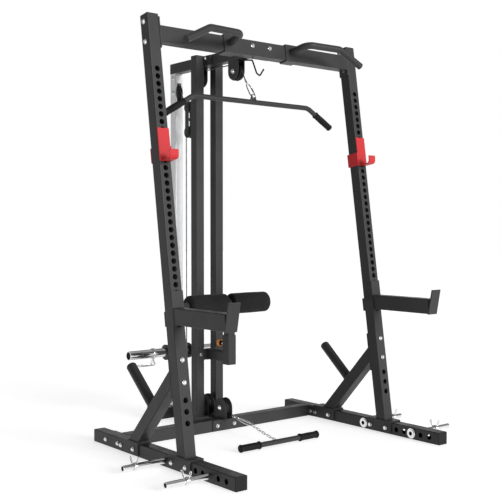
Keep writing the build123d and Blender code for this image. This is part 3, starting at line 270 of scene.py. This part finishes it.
# ---- Mesh building --------------------------------------------------------------------------------
def frames_along(points, closed):
    """A (side, up) pair for each point, carried along the line without twist."""
    count = len(points)
    if closed:
        heads = [(points[(i + 1) % count] - points[i - 1]).normalized() for i in range(count)]
    else:
        heads = [(points[min(i + 1, count - 1)] - points[max(i - 1, 0)]).normalized() for i in range(count)]
    side = heads[0].orthogonal().normalized()
    pairs = []
    for head in heads:
        side = (side - head * side.dot(head)).normalized()
        pairs.append((side, head.cross(side)))
    return pairs


class Shape:
    """Vertices and faces of one piece, gathered from turned and swept forms."""

    def __init__(self):
        self.points = []
        self.faces = []

    def rings(self, rings, joined=False):
        """Skin over rings of equal count; joined closes the last on to the first."""
        first = len(self.points)
        sides = len(rings[0])
        for ring in rings:
            self.points.extend(ring)
        for i in range(len(rings) if joined else len(rings) - 1):
            here = first + i * sides
            there = first + (i + 1) % len(rings) * sides
            for k in range(sides):
                n = (k + 1) % sides
                self.faces.append((here + k, here + n, there + n, there + k))
        if not joined:
            last = first + (len(rings) - 1) * sides
            self.faces.append(tuple(range(first + sides - 1, first - 1, -1)))
            self.faces.append(tuple(range(last, last + sides)))

    def turned(self, start, axis, profile, sides=40, joined=False):
        """A profile of (distance along the axis, radius) turned about it."""
        head = Vector(axis).normalized()
        side = head.orthogonal().normalized()
        up = head.cross(side)
        turns = [2 * pi * k / sides for k in range(sides)]
        self.rings([[Vector(start) + head * along + (side * cos(a) + up * sin(a)) * radius for a in turns]
                    for along, radius in profile], joined)

    def swept(self, points, radius, sides=12, closed=False, lobes=0, lay=0.04):
        """Round bar along points; lobes twist strands round it, one turn in each lay."""
        pairs = frames_along(points, closed)
        rings = []
        run = 0.0
        for i, (point, (side, up)) in enumerate(zip(points, pairs)):
            run += (point - points[i - 1]).length if i else 0.0
            ring = []
            for k in range(sides):
                a = 2 * pi * k / sides
                r = radius * (1 + 0.07 * cos(lobes * (a - 2 * pi * run / lay))) if lobes else radius
                ring.append(point + (side * cos(a) + up * sin(a)) * r)
            rings.append(ring)
        self.rings(rings, closed)

    def build(self, name, slot, body=None, replaces=()):
        mesh = bpy.data.meshes.new(name)
        mesh.from_pydata([tuple(p) for p in self.points], [], self.faces)
        mesh.validate()
        mesh.polygons.foreach_set("use_smooth", [True] * len(mesh.polygons))
        mesh.set_sharp_from_angle(angle=radians(40))
        mesh.materials.append(MATERIALS[slot])
        piece = bpy.data.objects.new(name, mesh)
        bpy.context.scene.collection.objects.link(piece)
        if replaces:
            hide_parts(*replaces)
        if body:
            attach(piece, body)
        return piece


def straight(start, end, step=0.006):
    """Points evenly along a straight run."""
    start, end = Vector(start), Vector(end)
    count = max(2, round((end - start).length / step))
    return [start.lerp(end, i / count) for i in range(count + 1)]


# ---- Cables: laid wire rope round the pulleys -----------------------------------------------------
def station(node, turn):
    """A pulley on a cable's way, as (y, z, radius, turn); turn is 1 where it is passed anticlockwise."""
    low, high = box(node)
    return ((low.y + high.y) / 2, (low.z + high.z) / 2, (high.z - low.z) / 2 - RIM, turn)


def leg(start, end):
    """Ends of the straight run that is tangent to two stations."""
    span_y = end[0] - start[0]
    span_z = end[1] - start[1]
    lean = asin((end[3] * end[2] - start[3] * start[2]) / hypot(span_y, span_z))
    heading = atan2(span_z, span_y) - lean
    normal = (-sin(heading), cos(heading))
    return [Vector((0, y - turn * r * normal[0], z - turn * r * normal[1]))
            for y, z, r, turn in (start, end)]


def round_pulley(before, at, after, step=0.1):
    """Points where a cable lies in a pulley's groove, between the runs before and after it."""
    y, z, r, turn = at
    arrive = leg(before, at)[1]
    leave = leg(at, after)[0]
    first = atan2(arrive.z - z, arrive.y - y)
    swing = turn * (atan2(leave.z - z, leave.y - y) - first) % (2 * pi)
    count = max(3, round(swing / step))
    angles = [first + turn * swing * i / count for i in range(count + 1)]
    return [Vector((0, y + r * cos(a), z + r * sin(a))) for a in angles]


def end_point(place):
    return (*place, 0.0, 0)


def cable_piece(name, points, body=None, replaces=()):
    shape = Shape()
    shape.swept(points, CABLE_R, 18, lobes=6)
    return shape.build(name, "wire", body, replaces=replaces)


def moving_run(name, stations, replaces=(), moving_first=False):
    """Straight run between the frame and a moving body."""
    start, end = leg(*stations)
    piece = cable_piece(name, straight(start, end), replaces=replaces)
    if moving_first:
        start, end = end, start
    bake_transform(piece)


def cables():
    lat_end = end_point(LAT_CABLE_END)
    row_end = end_point(ROW_CABLE_END)
    carriage_end = end_point(CARRIAGE_END)
    anchor = end_point(ANCHOR)
    over_front = station("front_top_pulley", -1)
    over_rear = station("rear_top_pulley", -1)
    under_block = station("block_upper_pulley", 1)
    over_column = station("column_pulley", -1)
    under_front = station("front_low_pulley", 1)
    under_rear = station("rear_low_pulley", 1)
    over_block = station("block_lower_pulley", -1)
    top = (round_pulley(lat_end, over_front, over_rear) + straight(*leg(over_front, over_rear))[1:-1]
           + round_pulley(over_front, over_rear, under_block))
    low = (round_pulley(row_end, under_front, under_rear) + straight(*leg(under_front, under_rear))[1:-1]
           + round_pulley(under_front, under_rear, over_block))
    cable_piece("lat_cable_top", top, "frame", ("cable_runs",))
    cable_piece("row_cable_low", low, "frame")
    cable_piece("lat_cable_on_column", round_pulley(under_block, over_column, carriage_end), "frame")
    cable_piece("lat_cable_in_block", round_pulley(over_rear, under_block, over_column), "block")
    cable_piece("row_cable_in_block", round_pulley(under_rear, over_block, anchor), "block")
    moving_run("lat_cable_to_bar", (lat_end, over_front), ("lat_cable_drop",), True)
    moving_run("lat_cable_to_block", (over_rear, under_block), ("lat_block_cable",))
    moving_run("lat_cable_from_block", (under_block, over_column), (), True)
    moving_run("lat_cable_to_carriage", (over_column, carriage_end), ("carriage_cable",))
    moving_run("row_cable_to_block", (under_rear, over_block), ("low_block_cable",))
    moving_run("row_cable_from_block", (over_block, anchor), (), True)
    moving_run("row_cable_to_bar", (row_end, under_front), ("row_cable",), True)
    stud = Shape()
    foot = Vector((0, ANCHOR[0], RAIL_Z * 2))
    stud.turned(foot, (0, 0, 1), [(0, 0.011), (0.002, 0.012), (0.005, 0.012), (0.006, 0.008),
                                  (0.0115, 0.0075), (0.012, 0.004)], 24)
    stud.build("cable_anchor", "zinc", "frame")


# ---- Links, snap hooks and swages -----------------------------------------------------------------
def oval(start, end, width, flat, pear=0.0, count=36):
    """Closed oval between two points, its width along flat; pear widens its far end."""
    along = (end - start) / 2
    centre = (start + end) / 2
    flat = flat.normalized()
    points = []
    for i in range(count):
        a = 2 * pi * i / count
        reach = abs(cos(a)) ** 0.55 * (1 if cos(a) >= 0 else -1)
        spread = abs(sin(a)) ** 0.8 * (1 if sin(a) >= 0 else -1)
        points.append(centre + along * reach + flat * (spread * width / 2 * (1 + pear * reach)))
    return points


def snap_hook(shape, start, end, wire, width, flat):
    """Carabiner: a bent wire ring with a gate, its hinge pin and its nose."""
    shape.swept(oval(start, end, width, flat, 0.18), wire / 2, 12, True)
    run = end - start
    side = flat.normalized() * (width / 2 - wire * 0.05)
    gate = [start + run * share + side for share in (0.30, 0.45, 0.60, 0.74)]
    shape.swept(gate, wire * 0.62, 12)
    normal = run.cross(flat).normalized() * wire * 0.75
    for share in (0.32, 0.72):
        pin = start + run * share + side
        shape.swept([pin - normal, pin, pin + normal], wire * 0.24, 8)


def swage(shape, start, end, radius):
    """Pressed ferrule with its two crimps."""
    length = (end - start).length
    pressed = radius * 0.86
    ends = radius * 0.75
    profile = [(0, ends), (0.0008, radius), (length * 0.22, radius), (length * 0.30, pressed),
               (length * 0.42, radius), (length * 0.58, radius), (length * 0.70, pressed),
               (length * 0.78, radius), (length - 0.0008, radius), (length, ends)]
    shape.turned(start, end - start, profile, 24)


def lat_carabiner():
    top = Vector((0, *LAT_CABLE_END))
    fall = (LAT_EYE - top).normalized()
    across = X_AXIS.lerp(fall.cross(X_AXIS), 0.35)
    across = (across - fall * across.dot(fall)).normalized()
    ferrule = Shape()
    swage(ferrule, top + fall * 0.001, top + fall * 0.019, 0.0055)
    ferrule.build("lat_cable_swage", "zinc", "lat_hook")
    hook = Shape()
    hook.swept(oval(top + fall * 0.0165, top + fall * 0.034, 0.012, fall.cross(across)), 0.0017, 10, True)
    snap_hook(hook, top + fall * 0.029, LAT_EYE + fall * 0.004, 0.0062, 0.0205, across)
    hook.build("lat_snap_hook", "zinc", "lat_hook", replaces=("lat_carabiner",))


def row_chain():
    """Swage and eye on the row cable, a long snap hook, and the chain from it to the row bar."""
    top = Vector((0, *ROW_CABLE_END))
    low, high = box("row_bar")
    eye = Vector((0, high.y - 0.008, (low.z + high.z) / 2))
    slope = (CHAIN_TOP - top).normalized()
    hook_side = X_AXIS.lerp(slope.cross(X_AXIS), 0.3).normalized()
    ferrule = Shape()
    swage(ferrule, top + slope * 0.001, top + slope * 0.018, 0.005)
    ferrule.build("row_cable_swage", "zinc", "row_bar")
    clip = Shape()
    cable_eye = oval(top + slope * 0.0155, top + slope * 0.046, 0.013, slope.cross(hook_side))
    clip.swept(cable_eye, 0.0022, 10, True)
    snap_hook(clip, top + slope * 0.041, CHAIN_TOP, 0.0074, 0.0170, hook_side)
    clip.build("row_snap_hook", "zinc", "row_bar", replaces=("row_chain",))
    chain = Shape()
    links = 9
    start = CHAIN_TOP - slope * 0.004
    step = (eye - start) / links
    wire = 0.0034
    for i in range(links):
        sag = [-0.003 * sin(pi * share) for share in (i / links, (i + 1) / links)]
        first = start + step * i + Vector((0, 0, sag[0]))
        second = start + step * (i + 1) + Vector((0, 0, sag[1]))
        lap = (second - first).normalized() * wire * 1.05
        normal = X_AXIS if i % 2 else (second - first).cross(X_AXIS).normalized()
        chain.swept(oval(first - lap, second + lap, 0.0105, normal.lerp(X_AXIS, 0.15), count=20),
                    wire / 2, 8, True)
    chain.build("row_chain_links", "zinc", "row_bar")


# ---- Grips, rollers, pin --------------------------------------------------------------------------
def grip_profile(length, radius, end_flange, inner_flange):
    """Moulded grip from the bar's end inwards: domed end, flange, ribbed barrel, inner flange."""
    profile = [(-0.004, radius * 0.55), (-0.0036, radius * 0.80), (-0.002, end_flange - 0.0012),
               (0.0, end_flange), (0.005, end_flange), (0.0075, radius * 1.02)]
    ribs = 16
    barrel = length - 0.020
    for i in range(ribs):
        base = 0.010 + barrel * i / ribs
        pitch = barrel / ribs
        swell = 0.0007 * sin(pi * (i + 0.5) / ribs)
        profile += [(base, radius - 0.0009 + swell), (base + pitch * 0.3, radius + swell),
                    (base + pitch * 0.7, radius + swell), (base + pitch * 0.99, radius - 0.0009 + swell)]
    return profile + [(length - 0.008, radius), (length - 0.006, inner_flange),
                      (length - 0.001, inner_flange), (length, inner_flange - 0.001), (length, BAR_R)]


def grips():
    lat = Shape()
    for side in SIDES.values():
        end = Vector((side * LAT_END.x, LAT_END.y, LAT_END.z))
        bend = Vector((side * LAT_BEND.x, LAT_BEND.y, LAT_BEND.z))
        lat.turned(end, bend - end, grip_profile(GRIP_LENGTH, 0.0158, 0.0170, 0.0175))
    lat.build("lat_bar_rubber", "grip_rubber", "lat_bar", replaces=("lat_bar_grips",))
    low, high = box("row_bar_grips")
    row = Shape()
    for side in SIDES.values():
        end = Vector((side * (high.x - 0.004), (low.y + high.y) / 2, (low.z + high.z) / 2))
        row.turned(end, (-side, 0, 0), grip_profile(0.115, 0.0160, 0.0185, 0.0190))
    row.build("row_bar_rubber", "grip_rubber", "row_bar", replaces=("row_bar_grips",))


def foam_roller(name):
    """Foam tube: rounded ends, a slow crown and dents, and a bore that grips its axle."""
    low, high = box(f"thigh_roller_{name}")
    length = high.x - low.x
    radius = (high.z - low.z) / 2
    bore = 0.0131
    edge = 0.012
    outline = [(0.0035, bore), (0.0012, bore + 0.006), (0.0, bore + 0.013)]
    outline += [(edge * (1 - cos(a)), radius - edge * (1 - sin(a)) - 0.0012)
                for a in (radians(15 * i) for i in range(7))]
    body = [(edge + (length - 2 * edge) * i / 26, radius - 0.0012 + 0.0011 * sin(pi * i / 26))
            for i in range(1, 26)]
    profile = outline + body + [(length - along, r) for along, r in reversed(outline)]
    profile += [(length - 0.010, bore), (0.010, bore)]
    roller = Shape()
    start = Vector((low.x, (low.y + high.y) / 2, (low.z + high.z) / 2))
    roller.turned(start, (1, 0, 0), profile, 56, True)
    for i, point in enumerate(roller.points):
        spoke = Vector((0, point.y - start.y, point.z - start.z))
        if spoke.length > bore * 1.3:
            dent = noise.noise(point * 22) * 0.0007 + noise.noise(point * 90) * 0.0003
            roller.points[i] = point + spoke.normalized() * (dent - 0.0004)
    piece = roller.build(f"foam_roller_{name}", "foam", f"roller_{name}",
                         replaces=(f"thigh_roller_{name}",))
    smooth = piece.modifiers.new("surface", "SUBSURF")
    smooth.levels = smooth.render_levels = 1


def pop_pin():
    """Orange grip ring, hollow towards the sleeve, on a plated plunger that slides in a threaded barrel."""
    low, high = box("pop_pin")
    knob = 0.016
    start = Vector(((low.x + high.x) / 2, low.y, (low.z + high.z) / 2))
    mouth = Vector((start.x, high.y - knob, start.z))
    back = (0, 1, 0)
    ring = Shape()
    ring.turned(mouth, back, [(0.0060, 0.0136), (0.0006, 0.0140), (0.0, 0.0150), (0.0, 0.0182),
                              (0.0014, 0.0198), (0.0120, 0.0198), (0.0148, 0.0188), (knob, 0.0165),
                              (knob, 0.0068), (0.0060, 0.0068)], 40, True)
    for i, point in enumerate(ring.points):
        spoke = Vector((point.x - mouth.x, 0, point.z - mouth.z))
        angle = atan2(spoke.z, spoke.x)
        if spoke.length > 0.0185:
            ring.points[i] = point - spoke.normalized() * 0.0008 * (0.5 + 0.5 * cos(10 * angle))
    ring.build("pop_pin_grip", "orange_plastic", "pop_pin", replaces=("pop_pin",))
    disc = Shape()
    disc.turned(mouth, back, [(0.0036, 0.0064), (0.0030, 0.0072), (0.0030, 0.0126), (0.0040, 0.0135),
                              (0.0059, 0.0135), (0.0059, 0.0064)], 36, True)
    disc.build("pop_pin_disc", "cap_plastic", "pop_pin")
    plunger = Shape()
    plunger.turned(start, back, [(0.0, 0.0045), (0.0016, 0.0061), (high.y - low.y - 0.006, 0.0061),
                                 (high.y - low.y - 0.004, 0.0050)], 32)
    plunger.build("pop_pin_plunger", "chrome", "pop_pin")
    barrel = Shape()
    boss = Vector((start.x, mouth.y - 0.024, start.z))
    thread = [(0.0012 * i + 0.0006 * (i % 2), 0.0086 - 0.0006 * (i % 2)) for i in range(12)]
    barrel.turned(boss, back, [(0.0, 0.0064)] + thread + [(0.0150, 0.0070), (0.0150, 0.0064)], 32, True)
    barrel.build("pop_pin_barrel", "chrome", "frame")


# ---- Spring clips ---------------------------------------------------------------------------------
def hairpin(root, outward, across, reach, width, bend=None):
    """Wire loop out from root and back; bend carries its tip a way off to the side."""
    half = across.normalized() * width / 2
    tip = root + outward * reach
    if bend:
        elbow = bend.normalized()
        span = bend.length
        way = [root + half * 0.7, root + outward * reach * 0.5 + half * 0.85, tip - outward * 0.004 + half,
               tip + elbow * 0.004 + half, tip + elbow * span * 0.6 + half]
        last = tip + elbow * span
        turn = [last + half * cos(a) + elbow * (width / 2 * sin(a))
                for a in (radians(20 * i) for i in range(10))]
    else:
        way = [root + half * 0.5, root + outward * reach * 0.5 + half * 0.9]
        turn = [tip - outward * width / 2 + half * cos(a) + outward * (width / 2 * sin(a))
                for a in (radians(20 * i) for i in range(10))]
    mirror = half * 2 / half.length
    back = [point - mirror * (point - root).dot(half.normalized()) for point in reversed(way)]
    return way + turn + back


def spring_clip(node, bar_y, bar_z, bar_r, angles, reach, bend=0.0):
    """Close turns of wire round a bar, with a looped handle at each end."""
    x = middle(node).x
    wire = 0.0020
    ring = bar_r + wire + 0.0004
    axis = Vector((x, bar_y, bar_z))
    clip = Shape()
    turns = 3.5
    count = 126
    coil = []
    for i in range(count + 1):
        a = radians(angles[0]) + (2 * pi * turns + radians(angles[1] - angles[0])) * i / count
        coil.append(axis + Vector(((i / count - 0.5) * turns * wire * 2.05, ring * cos(a), ring * sin(a))))
    clip.swept(coil, wire, 10)
    outer = 1 if x > 0 else -1
    for angle, shift in zip(angles, (-1, 1)):
        spoke = Vector((0, cos(radians(angle)), sin(radians(angle))))
        root = axis + spoke * ring + Vector((shift * turns * wire * 1.02, 0, 0))
        side = X_AXIS.cross(spoke)
        way = Vector((outer * bend, 0, 0)) if bend else None
        clip.swept(hairpin(root, spoke, side, reach, 0.0095, way), wire, 8)
    clip.build(f"{node}_wire", "zinc", node, replaces=(node,))


def spring_clips():
    sleeves = middle("carriage_sleeves")
    for name in SIDES:
        for end, bar_y in PEG_YS.items():
            node = f"peg_clip_{end}_{name}"
            spring_clip(node, bar_y, RAIL_Z, PEG_R, (60, 118), 0.032)
        node = f"sleeve_clip_{name}"
        spring_clip(node, sleeves.y, sleeves.z, SLEEVE_R, (238, 292), 0.040, 0.095)


# ---- Weld beads -----------------------------------------------------------------------------------
def bead(shape, start, end):
    """Rippled fillet of weld along a joint."""
    points = straight(start, end, 0.0016)
    pairs = frames_along(points, False)
    rings = []
    for i, (point, (side, up)) in enumerate(zip(points, pairs)):
        swell = WELD_R * (0.86 + 0.14 * abs(sin(i * 1.15))) * (0.6 if i in (0, len(points) - 1) else 1.0)
        drift = noise.noise(point * 60) * 0.0005
        rings.append([point + (side * cos(a) + up * sin(a)) * swell + side * drift
                      for a in (2 * pi * k / 8 for k in range(8))])
    shape.rings(rings)


def foot_bead(shape, x, y, depth):
    """Weld round the foot of a leaning tube, where it stands on its saddle."""
    corners = [Vector((x + sx * TUBE_HALF, y + sy * depth, SADDLE_TOP))
               for sx, sy in ((-1, -1), (1, -1), (1, 1), (-1, 1))]
    for i, corner in enumerate(corners):
        bead(shape, corner, corners[(i + 1) % len(corners)])


def weld_beads():
    """Welds of the uprights and braces on their foot saddles, and of the horns on their braces."""
    rise = SADDLE_TOP - UPRIGHT_FOOT.z
    for name, side in SIDES.items():
        welds = Shape()
        x = side * UPRIGHT_FOOT.x
        y = UPRIGHT_FOOT.y + rise * sin(LEAN) / cos(LEAN)
        foot_bead(welds, x, y, TUBE_HALF / cos(LEAN))
        y = BRACE_FOOT.y - rise * cos(BRACE_SLOPE) / sin(BRACE_SLOPE)
        foot_bead(welds, x, y, TUBE_HALF / sin(BRACE_SLOPE))
        up = Vector((0, -cos(BRACE_SLOPE), sin(BRACE_SLOPE)))
        out = Vector((0, cos(HORN_RISE), sin(HORN_RISE)))
        root = Vector((x, BRACE_FOOT.y, BRACE_FOOT.z)) + up * HORN_UP + out * TUBE_HALF
        turns = [2 * pi * k / 90 for k in range(90)]
        ring = [root + (up * cos(a) + X_AXIS * sin(a)) * HORN_COLLAR_R for a in turns]
        welds.swept(ring, WELD_R, 8, True)
        welds.build(f"weld_beads_{name}", "frame_paint", "frame")


# ---- Plugs in the peg and sleeve bores ------------------------------------------------------------
def tube_mouths():
    """Dark plastic plugs in the open ends of the band pegs and the weight sleeves."""
    peg_mouth = box("band_pegs")[1].x - 0.006           # plugs sit a little inside their tubes
    sleeve_mouth = box("carriage_sleeves")[1].x - 0.012
    sleeve = middle("carriage_sleeves")
    plugs = Shape()
    for side in SIDES.values():
        for bar_y in PEG_YS.values():
            mouth = Vector((side * peg_mouth, bar_y, RAIL_Z))
            plugs.turned(mouth, (side, 0, 0), [(0, 0.0101), (0.0040, 0.0101), (0.0050, 0.0088),
                                               (0.0042, 0.0030)], 28)
    plugs.build("peg_plugs", "cap_plastic", "frame")
    plugs = Shape()
    for side in SIDES.values():
        mouth = Vector((side * sleeve_mouth, sleeve.y, sleeve.z))
        plugs.turned(mouth, (side, 0, 0), [(0, 0.0206), (0.005, 0.0206), (0.006, 0.0180),
                                           (0.0048, 0.006)], 32)
    plugs.build("sleeve_plugs", "cap_plastic", "carriage")


cables()
lat_carabiner()
row_chain()
grips()
for side_name in SIDES:
    foam_roller(side_name)
pop_pin()
spring_clips()
weld_beads()
tube_mouths()


# ---- Floor, light and camera ----------------------------------------------------------------------
def floor():
    half = 30.0
    mesh = bpy.data.meshes.new("studio_floor")
    corners = [(-half, -half, 0), (half, -half, 0), (half, half, 0), (-half, half, 0)]
    mesh.from_pydata(corners, [], [(0, 1, 2, 3)])
    mesh.materials.append(stage_paper("stage_paper"))
    piece = bpy.data.objects.new("studio_floor", mesh)
    bpy.context.scene.collection.objects.link(piece)


def area_light(name, place, aim, size, power):
    lamp = bpy.data.lights.new(name, "AREA")
    lamp.shape = "RECTANGLE"
    lamp.size, lamp.size_y = size
    lamp.energy = power
    piece = bpy.data.objects.new(name, lamp)
    piece.location = place
    piece.rotation_mode = "QUATERNION"
    piece.rotation_quaternion = (Vector(aim) - Vector(place)).to_track_quat("-Z", "Y")
    bpy.context.scene.collection.objects.link(piece)


def sun(tilt, heading, power, softness):
    """Broad, even light; tilt is from straight down and heading turns it about the vertical."""
    lamp = bpy.data.lights.new("sun", "SUN")
    lamp.energy = power
    lamp.angle = radians(softness)
    piece = bpy.data.objects.new("sun", lamp)
    piece.rotation_euler = (radians(tilt), 0, radians(heading))
    bpy.context.scene.collection.objects.link(piece)


def sky():
    """White at the horizon, darker overhead and to the machine's left, so that its faces read apart."""
    world = bpy.data.worlds.new("studio")
    world.use_nodes = True
    tree = world.node_tree
    place = tree.nodes.new("ShaderNodeTexCoord")
    split = tree.nodes.new("ShaderNodeSeparateXYZ")
    ramp = tree.nodes.new("ShaderNodeValToRGB")
    tree.links.new(place.outputs["Generated"], split.inputs[0])
    tree.links.new(split.outputs["Z"], ramp.inputs["Fac"])
    tree.links.new(ramp.outputs["Color"], tree.nodes["Background"].inputs["Color"])
    shade = tree.nodes.new("ShaderNodeMapRange")
    for key, value in (("From Min", -0.55), ("From Max", 0.0), ("To Min", 0.42), ("To Max", 1.0)):
        shade.inputs[key].default_value = value
    tree.links.new(split.outputs["X"], shade.inputs["Value"])
    tree.links.new(shade.outputs["Result"], tree.nodes["Background"].inputs["Strength"])
    steps = ((0.0, 1.0), (0.25, 1.0), (0.34, 0.30), (0.72, 0.22), (0.90, 0.55), (1.0, 0.7))
    points = ramp.color_ramp.elements
    while len(points) < len(steps):
        points.new(0.5)
    for point, (height, grey) in zip(points, steps):
        point.position = height
        point.color = rgb(grey, grey, grey)
    bpy.context.scene.world = world


def camera():
    """Eye level, from the front left, at the picture's own angle."""
    lens = bpy.data.cameras.new("camera")
    lens.sensor_width = 36.0
    lens.lens = 65.746
    lens.shift_x = -0.004
    lens.shift_y = 0.0004
    piece = bpy.data.objects.new("camera", lens)
    piece.location = (-2.8417, -3.5062, 1.0363)
    piece.rotation_euler = (radians(90 - 1.348), 0, radians(-39.07))
    bpy.context.scene.collection.objects.link(piece)
    bpy.context.scene.camera = piece


floor()
sky()
sun(72, 10, 2.6, 25)
area_light("fill", (3.4, -3.0, 2.6), (0.0, 0.0, 0.9), (2.0, 3.0), 4)
camera()
bpy.context.scene.view_settings.view_transform = "Standard"
